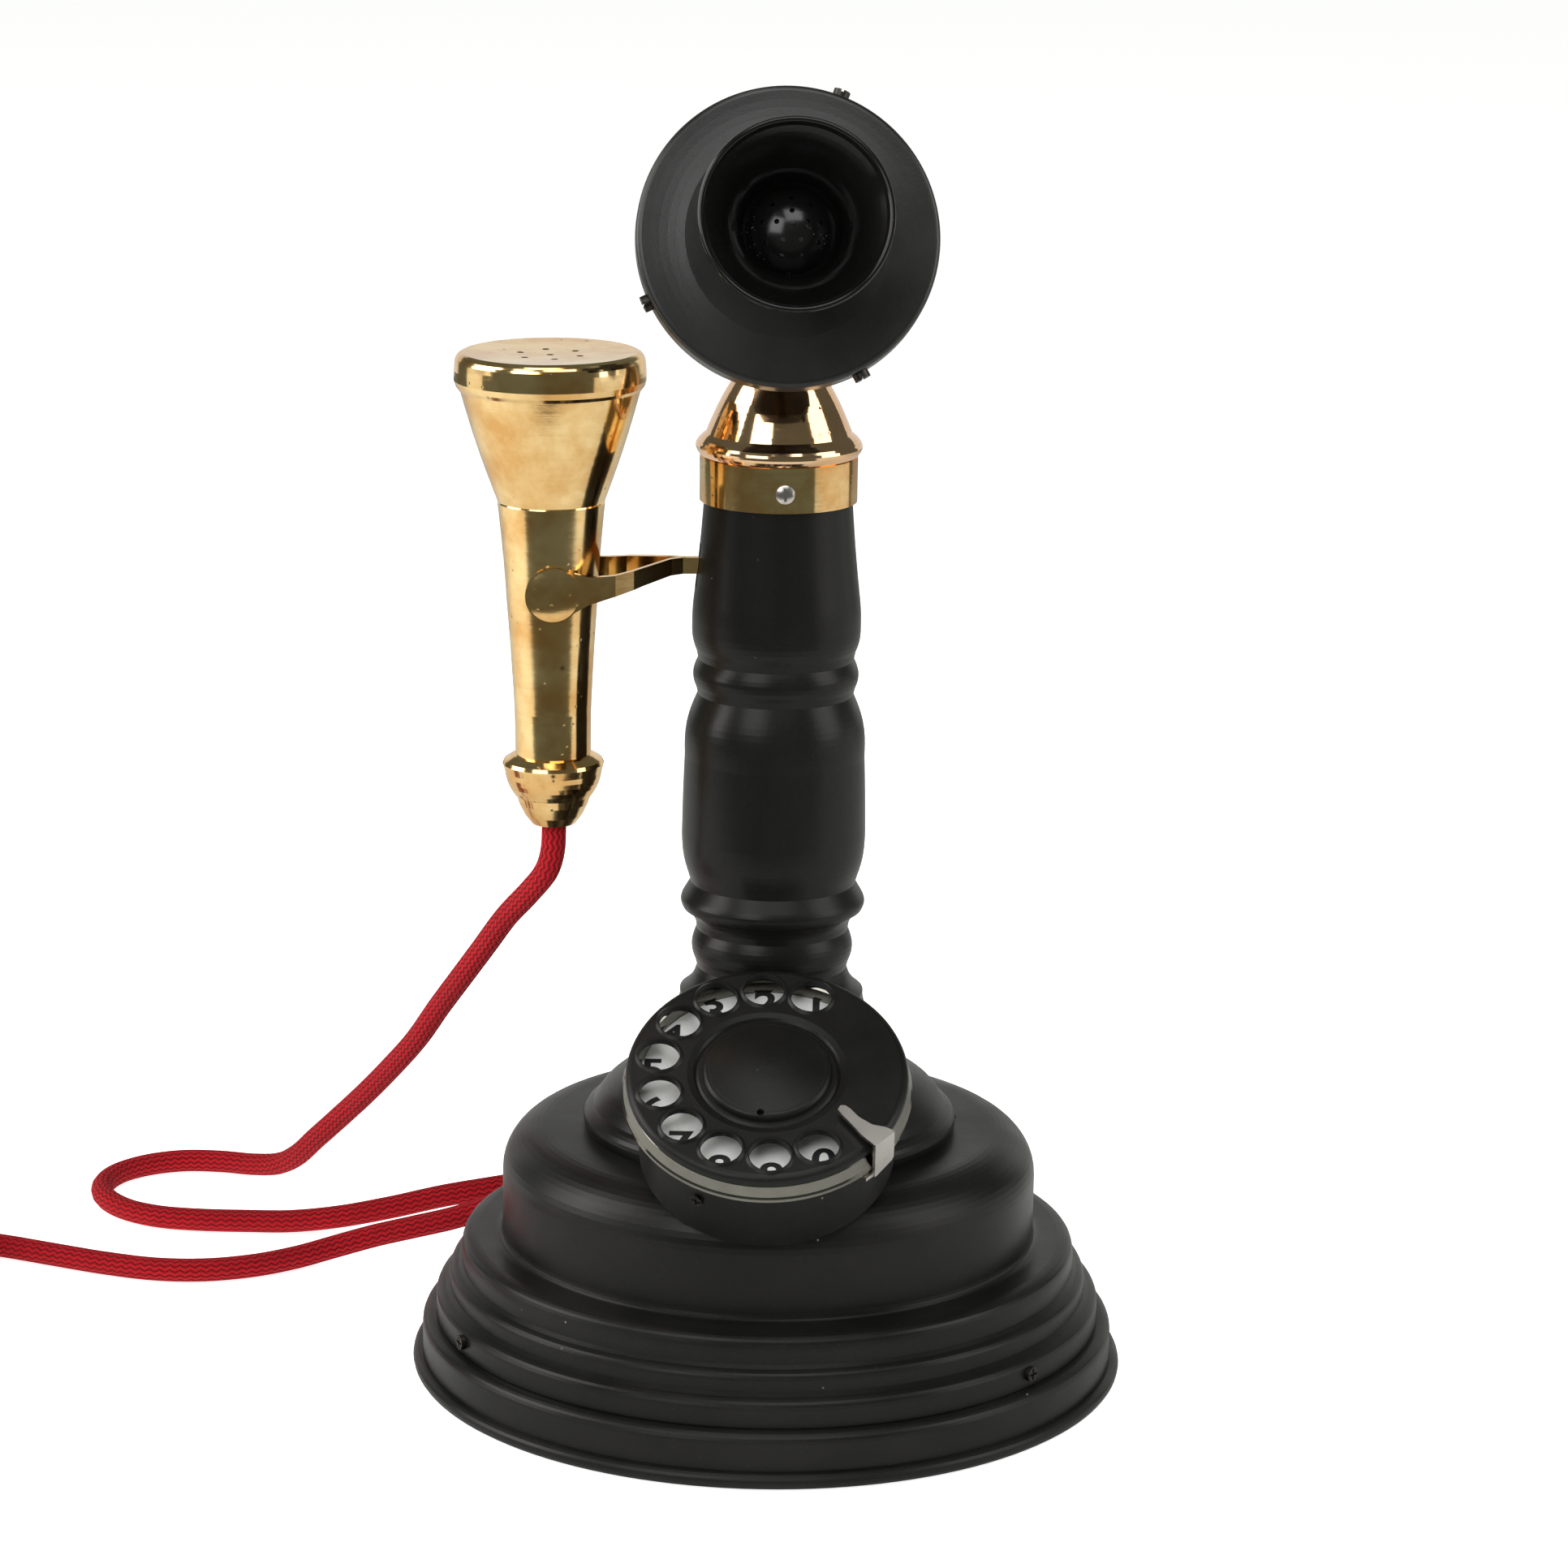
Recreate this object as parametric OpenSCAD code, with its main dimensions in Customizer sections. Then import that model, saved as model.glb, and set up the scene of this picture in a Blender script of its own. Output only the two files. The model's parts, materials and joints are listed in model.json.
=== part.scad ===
/* [Base] */
// Radius of the rolled rim that the telephone stands on
rim_r = 102; // [98:0.5:106]
// Radius of the upper shell where it sits on the tray
shell_r = 95.2; // [94.5:0.1:95.6]
// Height of the flat ledge round the drum
ledge_z = 39; // [38.5:0.1:39.5]
// Radius of the drum
drum_r = 76.2; // [75.5:0.1:76.6]
// Height of the flat top of the drum
drum_top = 71; // [70.5:0.1:71.5]
// Radius of the drum's rounded shoulder
shoulder_r = 13; // [12:0.5:14]
// Thickness of the spun sheet metal
sheet_t = 1.3; // [1:0.1:1.5]

/* [Column] */
// Turn of the column and its hook against the dial, in degrees
column_turn = 5.4; // [4:0.1:6]
// Turn of the head with its transmitter against the dial, in degrees
head_turn = 4.4; // [3:0.1:6]
// Radius of the hollow tie pipe
pipe_r = 5.5; // [5:0.1:5.5]
// Height of the hook lever's pivot
hook_z = 232; // [230:0.5:234]

/* [Dial] */
// Distance of the dial's centre in front of the column's axis
dial_y = 65; // [65:0.5:67]
// Height of the dial's centre
dial_z = 105.6; // [105:0.1:107]
// Tilt of the dial's face from the horizontal, in degrees
dial_tilt = 30.6; // [30:0.1:31]
// Radius of the finger wheel
wheel_r = 38.5; // [38:0.1:38.6]
// Radius of the dial cup
cup_r = 35.3; // [35:0.1:35.5]
// Radius of one finger hole
finger_hole_r = 5.65; // [5:0.05:6]
// Angle of the hole for digit 1
first_hole = 67.3; // [66:0.1:70]
// Angle from one finger hole to the next
hole_step = 25.67; // [25:0.01:26]

/* [Transmitter] */
// Radius of the transmitter's face plate
face_r = 41.1; // [40:0.1:41.5]
// Height of the centre of the face plate
face_z = 328.9; // [328:0.1:330]
// Distance of the face plate in front of the column's axis
face_y = 23.5; // [23:0.1:25]
// Upward tilt of the transmitter, in degrees
face_up = 17.8; // [16:0.1:18.5]
// Side play of the transmitter on its pin
face_x = 0.2; // [-1:0.05:1]
// Radius of the mouthpiece's mouth
mouth_r = 25.75; // [25:0.05:26.5]
// Height of the mouth above the face plate
mouth_h = 33; // [31:0.5:34]

/* [Receiver] */
// Distance of the receiver's axis from the column's axis
receiver_x = 62.9; // [62:0.1:64]
// Lean of the hanging receiver, in degrees
receiver_lean = 0.6; // [0:0.1:0.6]
// Radius of the receiver's ear cap
ear_r = 26.5; // [26:0.1:27]
// Height of the ear cap's top
ear_z = 293.8; // [293:0.1:294]
// Half the gap between the hook's prongs
fork_gap = 13.6; // [13.6:0.1:14.2]

/* [Cords] */
// Radius of both braided cords
cord_r = 3.5; // [3.4:0.05:3.5]

/* [Hidden] */
eps = 0.01;
$fn = 96;

// ---- curves -------------------------------------------------------------------------------

// Points of an arc about c, from angle a0 to a1
function arc(c, r, a0, a1, n = 8) =
    [for (i = [0:n]) let (a = a0 + (a1 - a0) * i / n) c + r * [cos(a), sin(a)]];

// Points after a on the way to b, bowed out by h (in by a negative h)
function bow(a, b, h, n = 8) =
    [for (i = [1:n]) let (t = i / n, d = b - a)
        a + d * t + h * sin(180 * t) * [d[1], -d[0]] / norm(d)];

// Unit normal of an open outline at its point i, to the right of the way it runs
function normal(p, i) =
    let (d = p[min(i + 1, len(p) - 1)] - p[max(i - 1, 0)]) [d[1], -d[0]] / norm(d);

// An outline and its copy set in by t, as one closed wall
function wall(p, t) = concat(p, [for (i = [len(p) - 1:-1:0]) p[i] - t * normal(p, i)]);

module lathe(points) rotate_extrude() polygon(points);
module ring(r_out, r_in, z0, z1) {
    difference() {
        translate([0, 0, z0]) cylinder(r = r_out, h = z1 - z0);
        translate([0, 0, z0 - 1]) cylinder(r = r_in, h = z1 - z0 + 2);
    }
}
module rod(r, z0, z1) translate([0, 0, z0]) cylinder(r = r, h = z1 - z0);
module block(low, high) translate(low) cube(high - low);
// A round bar between two points of the X-Z plane, across the Y axis at y
module pin_y(r, x, z, y0, y1) translate([x, y1, z]) rotate([90, 0, 0]) cylinder(r = r, h = y1 - y0, $fn = 48);
module pin_x(r, y, z, x0, x1) translate([x0, y, z]) rotate([0, 90, 0]) cylinder(r = r, h = x1 - x0, $fn = 48);
// A radial bar from radius r0 to r1 at height z and the given angle
module spoke(angle, z, r, r0, r1) rotate([0, 0, angle]) pin_x(r, 0, z, r0, r1);

// ---- places -------------------------------------------------------------------------------

module at_column() rotate([0, 0, column_turn]) children();
module at_head() rotate([0, 0, head_turn]) children();
module at_dial() translate([0, -dial_y, dial_z]) rotate([dial_tilt, 0, 0]) children();
module at_face() at_head() translate([face_x, -face_y, face_z]) rotate([90 - face_up, 0, 0]) children();
lean_z = 250;
module at_receiver() {
    at_column() translate([-receiver_x, 0, lean_z]) rotate([0, -receiver_lean, 0])
        translate([0, 0, -lean_z]) children();
}

// ---- base ---------------------------------------------------------------------------------

skirt_r = 99.2;
tray_top = 15.2;
bead_r = 2.2;
grommet_angles = [118, 131];
grommet_z = 21.5;
shell_screw_angles = [207.6, 320.7, 84];
shell_screw_z = 19.3;
foot_screws = 4;
foot_screw_r = 93;

tray_outline = concat([[88, 0]], arc([rim_r - bead_r, bead_r], bead_r, -90, 90),
    [[skirt_r, 2 * bead_r]], arc([skirt_r - 3, tray_top - 3], 3, 0, 90, 6),
    [[93.3, tray_top], [93.3, 20.5], [92.3, 20.5], [92.3, tray_top - 1.2]],
    arc([skirt_r - 3.2, tray_top - 3], 1.8, 90, 0, 6), [[98, 1.2], [88, 1.2]]);

module cord_holes() {
    for (a = grommet_angles) spoke(a, grommet_z, 4.25, 85, 105);
}
module base_tray() {
    color("#1c1c1c") difference() {
        lathe(tray_outline);
        cord_holes();
        for (a = shell_screw_angles) spoke(a, shell_screw_z, 1.3, 85, 100);
        for (i = [1:foot_screws]) rotate([0, 0, 45 + 90 * i]) translate([foot_screw_r, 0, 0]) rod(2.6, -1, 2);
    }
}
module felt_pad() color("#26382c") rod(87.6, 0, 1.2);
module bottom_plate() {
    color("#3a3a3a") difference() {
        rod(97.6, 1.2, 2.7);
        for (i = [1:foot_screws]) rotate([0, 0, 45 + 90 * i]) translate([foot_screw_r, 0, 0]) rod(1.5, 0, 4);
    }
}
module bottom_screws() {
    color("#2b2b2b") for (i = [1:foot_screws]) rotate([0, 0, 45 + 90 * i]) translate([foot_screw_r, 0, 0]) {
        rod(2.6, 0.1, 1.2);
        rod(1.5, 1.1, 7);
    }
}

// The shell's outer line, from its lower edge up over three steps, the ledge and the drum
shell_line = concat([[shell_r, 15.4], [shell_r, 19.4]], bow([shell_r, 19.4], [92.6, 23.5], 1.1, 6),
    [[91.3, 24.3], [91.3, 26.6]], bow([91.3, 26.6], [89, 30.1], 0.9, 6),
    [[87.9, 31], [87.9, 34.4]], bow([87.9, 34.4], [83.6, ledge_z], 1.7, 8),
    [[drum_r + 2.4, ledge_z]], bow([drum_r + 2.4, ledge_z], [drum_r, ledge_z + 2.4], -0.9, 5),
    arc([drum_r - shoulder_r, drum_top - shoulder_r], shoulder_r, 0, 90, 12), [[8, drum_top]]);

module base_shell() {
    color("#1c1c1c") difference() {
        lathe(wall(shell_line, sheet_t));
        cord_holes();
        for (a = shell_screw_angles) spoke(a, shell_screw_z, 1.3, 85, 100);
        translate([53, 8, 0]) rod(0.8, 60, 80);
    }
}
module shell_screws() {
    color("#1e1e1e") for (a = shell_screw_angles) difference() {
        union() {
            spoke(a, shell_screw_z, 1.3, 90.5, 95.5);
            spoke(a, shell_screw_z, 2.1, shell_r + 0.1, 96.6);
        }
        rotate([0, 0, a]) block([96, -0.3, shell_screw_z - 1.6], [97, 0.3, shell_screw_z + 1.6]);
        rotate([0, 0, a]) block([96, -1.6, shell_screw_z - 0.3], [97, 1.6, shell_screw_z + 0.3]);
    }
}

// ---- column -------------------------------------------------------------------------------

foot_top = 109.6;
bolt_v = -4;
foot_line = concat([[52.6, drum_top]], bow([52.6, drum_top], [50.4, 77.6], 1.6, 6),
    bow([50.4, 77.6], [41, 86.6], 1.1, 6), bow([41, 86.6], [26, foot_top], -3.2, 10));
module column_foot() {
    color("#1c1c1c") difference() {
        lathe(concat([[pipe_r + 0.1, drum_top]], foot_line, [[pipe_r + 0.1, foot_top]]));
        at_dial() translate([0, bolt_v, 0]) rod(2, -38, -20);
    }
}

collar_z = 252.5;
column_top = 263;
column_line = concat([[26, foot_top], [26, 111.4]], bow([26, 111.4], [21.2, 118.4], -0.9, 6),
    bow([21.2, 119.2], [21.4, 129.6], 1.5, 8), bow([21.4, 130.4], [25.3, 135.6], -0.8, 6),
    bow([25.3, 135.6], [25.3, 139.8], 0.7, 6), [[23.3, 143.2]],
    bow([23.3, 143.6], [25.9, 157], 0.7, 8), bow([25.9, 157], [25.3, 179.6], 0.1, 4),
    bow([25.3, 179.6], [21.8, 197.6], 1.3, 10), bow([21.8, 198.4], [21.8, 207.6], 1.4, 8),
    bow([21.6, 208.4], [23.6, 217.5], 0.7, 6), bow([23.6, 217.5], [23.3, 224], 0.1, 3),
    bow([23.3, 224], [20.65, collar_z], -0.2, 6), [[20.65, column_top]]);
chamber_r = 14;
chamber_z = 214;
module column() {
    color("#1a1a1a") difference() {
        at_column() lathe(concat([[pipe_r + 0.1, foot_top]], column_line, [[pipe_r + 0.1, column_top]]));
        at_column() rod(chamber_r, chamber_z, 251);
        at_column() block([-30, -2.2, hook_z - 4.4], [-10, 2.2, hook_z + 8.4]);
        at_column() pin_y(1.5, -6, hook_z, -17, 17);
        at_column() pin_y(1.4, 0, 258, -25, -16);
    }
}
module tie_pipe() {
    color("#b9a25a") at_column() ring(pipe_r, pipe_r - 1.6, 58, chamber_z + 5);
}
module hex_nut(z0, z1) {
    difference() {
        translate([0, 0, z0]) cylinder(r = 10, h = z1 - z0, $fn = 6);
        rod(pipe_r, z0 - 1, z1 + 1);
    }
}
module pipe_nuts() {
    color("#b9a25a") at_column() {
        hex_nut(drum_top - sheet_t - 5, drum_top - sheet_t);
        hex_nut(chamber_z, chamber_z + 5);
    }
}
module collar_band() {
    color("#d9a860") difference() {
        at_column() lathe([[20.65, collar_z], [21.9, collar_z], [21.9, 265], [17, 265], [17, column_top],
            [20.65, column_top]]);
        at_column() pin_y(1.4, 0, 258, -25, -16);
    }
}
module collar_screw() {
    color("#c9a35e") at_column() difference() {
        union() {
            pin_y(1.4, 0, 258, -22, -16);
            intersection() {
                pin_y(2.6, 0, 258, -23.8, -21.9);
                translate([0, -18.4, 258]) sphere(r = 5.2);
            }
        }
        block([-0.4, -24, 256.2], [0.4, -22.4, 259.8]);
        block([-1.8, -24, 257.6], [1.8, -22.4, 258.4]);
    }
}
dome_top = 292;
dome_line = concat([[21.6, 265]], bow([21.6, 265], [21.3, 270.6], 1.7, 8), [[20.3, 271.4], [19.7, 273]],
    bow([19.7, 273], [9, dome_top], 0.8, 10));
module neck_dome() {
    color("#dca566") at_column() difference() {
        lathe(concat([[4, 265]], dome_line, [[4, dome_top]]));
        rod(14, 264, 276);
    }
}

// ---- head ---------------------------------------------------------------------------------

tilt_y = 4;
tilt_z = 302;
tilt_pin_r = 2.5;
ear_in = 4.1;
ear_out = 7.2;
module ear_plate(x0, x1) {
    pin_x(5.4, tilt_y, tilt_z, x0, x1);
    block([x0, tilt_y - 5.4, dome_top], [x1, tilt_y + 5.4, tilt_z]);
}
module head_clevis() {
    color("#b88a4a") at_head() difference() {
        union() {
            rod(8.8, dome_top, 294.4);
            translate([0, tilt_y, 0]) rod(8.6, dome_top + 0.2, 294.4);
            ear_plate(-ear_out, -ear_in);
            ear_plate(ear_in, ear_out);
        }
        pin_x(tilt_pin_r, tilt_y, tilt_z, -20, 20);
        rod(3, 290, 296);
    }
}
module tilt_pin() {
    color("#9a9a94") at_head() {
        pin_x(tilt_pin_r, tilt_y, tilt_z, -ear_out, ear_out + 3);
        pin_x(4.4, tilt_y, tilt_z, -ear_out - 2.4, -ear_out);
        translate([ear_out, tilt_y, tilt_z]) rotate([0, 90, 0]) difference() {
            cylinder(r = 4.6, h = 2.6, $fn = 6);
            translate([0, 0, -1]) cylinder(r = tilt_pin_r, h = 5);
        }
    }
}

// ---- transmitter, drawn with its face towards +Z --------------------------------------------

face_screw_angles = [69.5, 205, 298];
skirt_h = -4.6;
module face_plate() {
    color("#1b1b1b") at_face() difference() {
        lathe(concat([[12.6, 1.7], [28, 1.5]], bow([28, 1.5], [face_r - 1.6, 0.2], 0.25, 5),
            arc([face_r - 1.8, -1.6], 1.8, 80, 0, 5), [[face_r, -8], [face_r - 1.4, -8], [face_r - 1.4, -1.2],
            [12.6, 0]]));
        for (a = face_screw_angles) spoke(a, skirt_h, 1.3, 35, 45);
    }
}
module face_screws() {
    color("#1b1b1b") at_face() for (a = face_screw_angles) difference() {
        union() {
            spoke(a, skirt_h, 1.3, 35.8, face_r + 0.1);
            spoke(a, skirt_h, 2.3, face_r + 0.02, face_r + 2);
        }
        rotate([0, 0, a]) block([face_r + 1.4, -0.35, skirt_h - 2.5], [face_r + 3, 0.35, skirt_h + 2.5]);
    }
}
lug_v = (-tilt_y - face_y) * -sin(face_up) + (tilt_z - face_z) * cos(face_up);
lug_h = -(tilt_y + face_y) * cos(face_up) + (tilt_z - face_z) * sin(face_up);
housing_line = concat([[face_r - 1.45, -1.9], [face_r - 1.45, -8.2]],
    bow([face_r - 1.45, -8.2], [24, -20], 2.2, 8), bow([24, -20], [0, -27.5], 2.2, 8));
module lug() {
    translate([-face_x - 3.6, 0, 0]) rotate([90, 0, 90]) linear_extrude(7.2) difference() {
        union() {
            translate([lug_v, lug_h]) circle(r = 5.4);
            polygon([[lug_v - 3.6, lug_h - 4], [lug_v + 4, lug_h - 3.5], [-3, -27], [-6, -22], [-21, -19.6],
                [lug_v - 5.3, lug_h + 1]]);
        }
        translate([lug_v, lug_h]) circle(r = tilt_pin_r + 0.06);
    }
}
module transmitter_housing() {
    color("#1b1b1b") at_face() {
        difference() {
            lathe(concat(housing_line, [[0, -25.5]], bow([0, -25.5], [22.6, -18.4], -2, 6),
                bow([22.6, -18.4], [face_r - 4.6, -7.4], -2, 6), [[face_r - 4.6, -1.9]]));
            for (a = face_screw_angles) spoke(a, skirt_h, 1.3, 35, 45);
        }
        difference() {
            lug();
            lathe([[0, 0], [face_r - 3, 0], [face_r - 3, -7.8], [23.4, -19.2], [8, -24.9], [0, -26]]);
        }
    }
}
module carbon_capsule() {
    color("#8f8f8a") at_face() {
        rod(30, -3.6, -1.2);
        rod(16, -12, -3.6);
        rod(5, -17, -12);
    }
}
seat_h = 8;
mouth_line = concat([[12.5, -1], [12.5, 1.8], [16.4, 1.8], [16.4, 3], [14.6, 3.6]],
    bow([14.6, 3.6], [mouth_r - 1, mouth_h - 2.4], -2.2, 12),
    [[mouth_r, mouth_h - 1.6]], arc([mouth_r - 0.5, mouth_h - 0.8], 0.8, -30, 150, 6));
mouth_inside = concat([[mouth_r - 1.9, mouth_h - 2.2]],
    bow([mouth_r - 1.9, mouth_h - 2.2], [12.9, seat_h + 1.6], 2, 12),
    [[12, seat_h + 0.6], [12, seat_h], [10.5, seat_h], [10.5, -1]]);
module mouthpiece() color("#181818") at_face() lathe(concat(mouth_line, mouth_inside));

grille_r = 11.9;
grille_rise = 6;
grille_ball = (pow(grille_r, 2) + pow(grille_rise, 2)) / (2 * grille_rise);
grille_c = seat_h + 0.6 + grille_rise - grille_ball;
module grille() {
    color("#101010") at_face() difference() {
        translate([0, 0, grille_c]) sphere(r = grille_ball);
        translate([0, 0, grille_c]) sphere(r = grille_ball - 1.1);
        rod(30, -30, seat_h + 0.6);
        for (k = [[1, 0], [5, 17], [9, 33]], i = [1:k[0]]) translate([0, 0, grille_c])
            rotate([0, k[1], i * 360 / k[0] + 90]) rod(0.7, 0, 20);
    }
    color("#101010") at_face() ring(grille_r, 9.6, seat_h, seat_h + 0.6);
}

// ---- dial, drawn with its face towards +Z ---------------------------------------------------

// The base and the column's foot, grown by a gap
module base_and_foot(gap) {
    lathe(concat([[0, 60], [52.6 + gap, 60], [52.6 + gap, drum_top]],
        [for (p = foot_line) p + [gap, gap / 3]], [[26 + gap, 140], [0, 140]]));
    lathe(concat([[0, 40], [drum_r + gap, 40]],
        arc([drum_r - shoulder_r, drum_top - shoulder_r], shoulder_r + gap, 0, 90, 12), [[0, drum_top + gap]]));
}
cup_low = -30;
cup_floor = -28;
bezel_low = -6.9;
cup_screw_angles = [-120.6, -0.6, 119.4];
cup_screw_h = -16;
module dial_cup() {
    color("#191919") difference() {
        at_dial() difference() {
            lathe([[0, cup_floor], [31, cup_floor], [33.4, cup_low], [cup_r - 0.7, cup_low], [cup_r, cup_low + 0.7],
                [cup_r, bezel_low], [cup_r - sheet_t, bezel_low], [cup_r - sheet_t, cup_floor + sheet_t],
                [0, cup_floor + sheet_t]]);
            for (a = cup_screw_angles) spoke(a, cup_screw_h, 1.2, 30, 40);
            translate([0, bolt_v, 0]) rod(2, -42, -20);
        }
        base_and_foot(0.5);
    }
}
module cup_screws() {
    color("#2a2622") at_dial() for (a = cup_screw_angles) difference() {
        union() {
            spoke(a, cup_screw_h, 1.2, 32, cup_r + 0.1);
            spoke(a, cup_screw_h, 1.8, cup_r + 0.05, cup_r + 1);
        }
        rotate([0, 0, a]) block([cup_r + 0.6, -0.3, cup_screw_h - 1.4], [cup_r + 2, 0.3, cup_screw_h + 1.4]);
        rotate([0, 0, a]) block([cup_r + 0.6, -1.4, cup_screw_h - 0.3], [cup_r + 2, 1.4, cup_screw_h + 0.3]);
    }
}
// A wedge that fills the corner under the cup, and the bolt that runs through it into the foot
module dial_wedge() {
    color("#2a2622") difference() {
        at_dial() translate([0, bolt_v, 0]) ring(8, 2, -42, cup_floor);
        base_and_foot(0.02);
    }
}
module dial_bolt() {
    color("#8c8c88") at_dial() translate([0, bolt_v, 0]) {
        rod(2, -35.5, cup_floor + sheet_t + 0.1);
        rod(3.4, cup_floor + sheet_t, cup_floor + sheet_t + 2);
    }
}
plate_h = -5;
module dial_bezel() {
    color("#c9c6be") at_dial() lathe([[32.6, bezel_low], [38.9, bezel_low], [39.6, bezel_low + 0.7],
        [39.6, -5.2], [39.2, -4.6], [38, -1.9], [37.6, -1.4], [36.8, -1.4], [36.3, -1.8],
        [35.5, -4], [35.5, plate_h - 0.65], [32.6, plate_h - 0.65]]);
}
module number_plate() color("#e9e9e4") at_dial() ring(35.4, 10, plate_h - 0.6, plate_h);

stop_d = 39.8;
module finger_stop() {
    color("#b9b2a4") at_dial() {
        translate([0, 0, 3.5]) linear_extrude(1) polygon([[19.3, -15.4], [19.9, -14], [21.3, -13.9],
            [22.6, -15], [25, -18], [28.6, -20.6], [32.2, -21.4], [34.15, -22.4], [29, -27.6], [25.8, -24.4],
            [23.1, -20.6], [20.6, -17.4]]);
        rotate([0, 0, -44.5]) {
            translate([stop_d, 0, 0]) rotate([90, 0, 90]) linear_extrude(1)
                polygon([[0.6, -8.3], [1.4, -8.3], [7.2, -6.4], [7.8, -5.6], [7.8, 4.5], [0.6, 4.5]]);
            block([cup_r + 0.1, -2.2, -8.3], [stop_d + 0.5, 1.4, bezel_low - 0.05]);
        }
    }
}
frame_top = bezel_low - 0.1;
rear_h = -21.6;
governor_v = -24.2;
governor_pin_r = 1.2;
module dial_frame() {
    color("#a89a6a") at_dial() difference() {
        union() {
            rod(cup_r - sheet_t - 0.1, frame_top - 1.5, frame_top);
            rod(6, frame_top - 2.4, frame_top + 1.5);
            translate([0, -2.5, 0]) rod(27, rear_h, rear_h + 1.4);
            for (p = [[22, -14], [-22, -14], [0, 22.5]]) translate(p) rod(1.8, rear_h, frame_top);
        }
        rod(3.05, -30, 0);
        translate([0, governor_v, 0]) rod(governor_pin_r + 0.05, -30, 0);
    }
}
module spring_barrel() color("#8d7b45") at_dial() ring(9, 3.4, rear_h + 1.4, -17.2);
module pulse_contacts() {
    color("#c8a24e") at_dial() {
        block([10, -19, rear_h + 1.4], [15, -15.5, -17]);
        block([4, -18.6, -18.6], [15, -18.2, -17]);
        block([4, -16.8, -18.6], [15, -16.4, -17]);
    }
}

module at_fingers() {
    for (i = [0:9]) rotate([0, 0, first_hole + hole_step * i]) translate([30, 0, 0]) children();
}
module finger_wheel() {
    color("#191919") at_dial() difference() {
        union() {
            lathe(concat([[3, 1.3], [18.7, 1.3], [19.4, 0.9], [20.1, 1.5], [21.8, 1.8], [36.4, 1.8], [37, 1.6]],
                bow([37, 1.6], [wheel_r, -0.1], -0.35, 6),
                [[wheel_r, -0.5], [wheel_r - 0.8, -0.5], [wheel_r - 1.2, 0], [35.6, 0.3], [22, 0.3], [19, -0.2],
                [3, -0.2]]));
            at_fingers() translate([0, 0, 1.2]) cylinder(r1 = 7.4, r2 = 5.95, h = 1.15);
        }
        at_fingers() rod(finger_hole_r, -3, 4);
    }
}
module wheel_cap() {
    color("#171717") at_dial() difference() {
        lathe(concat([[0, 1.3], [17.7, 1.3]], bow([17.7, 2], [15.6, 3.4], 0.45, 5),
            bow([15.6, 3.4], [0, 5.4], 0.5, 9)));
        translate([-1.5, -15.9, 0]) rod(1, 1.9, 6);
    }
}
module dial_shaft() {
    color("#9c9c98") at_dial() {
        rod(3, -24, 1.3);
        ring(8.5, 2.9, -3.4, -0.2);
    }
}

// ---- dial train ---------------------------------------------------------------------------

gear_module = 1;
gear_teeth = 36;
pinion_teeth = 12;
pressure = 25;
tooth_play = 0.16;
function roll(r, rb) = r > rb ? sqrt(pow(r / rb, 2) - 1) : 0;
function involute(r, rb) = let (t = roll(r, rb)) t * 180 / PI - atan(t);
function half_tooth(r, teeth) =
    let (rp = gear_module * teeth / 2, rb = rp * cos(pressure))
    90 / teeth - tooth_play / 2 / rp * 180 / PI + involute(rp, rb) - involute(r, rb);
function gear_points(teeth, steps = 5) =
    let (rp = gear_module * teeth / 2, ra = rp + 0.85 * gear_module, rf = rp - 1.2 * gear_module,
        rs = max(rf + 0.25, rp * cos(pressure)))
    [for (k = [0:teeth - 1]) let (c = k * 360 / teeth) each concat(
        [rf * [cos(c - half_tooth(rs, teeth)), sin(c - half_tooth(rs, teeth))]],
        [for (i = [0:steps]) let (r = rs + (ra - rs) * i / steps, a = c - half_tooth(r, teeth)) r * [cos(a), sin(a)]],
        [for (i = [steps:-1:0]) let (r = rs + (ra - rs) * i / steps, a = c + half_tooth(r, teeth)) r * [cos(a), sin(a)]],
        [rf * [cos(c + half_tooth(rs, teeth)), sin(c + half_tooth(rs, teeth))]])];
module dial_gear() {
    color("#c2a04c") at_dial() difference() {
        rotate([0, 0, -90]) translate([0, 0, -15.6]) linear_extrude(2) polygon(gear_points(gear_teeth));
        rod(3, -20, 0);
        for (i = [0:4]) rotate([0, 0, 72 * i + 18]) translate([10.5, 0, 0]) rod(3.6, -20, 0);
    }
}
module governor_pinion() {
    color("#c2a04c") at_dial() translate([0, governor_v, 0]) {
        rotate([0, 0, 90 + 180 / pinion_teeth]) translate([0, 0, -16.2]) linear_extrude(3.2)
            polygon(gear_points(pinion_teeth));
        rod(governor_pin_r, rear_h, frame_top);
    }
}
module governor_rotor() {
    color("#b08f45") at_dial() translate([0, governor_v, 0]) difference() {
        union() {
            rod(3, -19.6, -17);
            for (s = [-1, 1]) translate([3.4 * s, 0, 0]) rod(2, -19.6, -17.4);
        }
        rod(governor_pin_r, -30, 0);
    }
}

// ---- hook ---------------------------------------------------------------------------------

prong_t = 1.7;
hook_pivot_x = -6;
paddle_x = -63;
paddle_z = 228.3;
paddle_r = 7.6;
dish_r = 24;
// Middle line of one prong, seen from above, from the neck out along the receiver
prong_line = [[-26, 0.2], [-30, 2], [-35.5, 6.4], [-41, 10.8], [-46, 13.4], [-51, fork_gap + prong_t / 2],
    [-57, fork_gap + prong_t / 2]];
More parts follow.
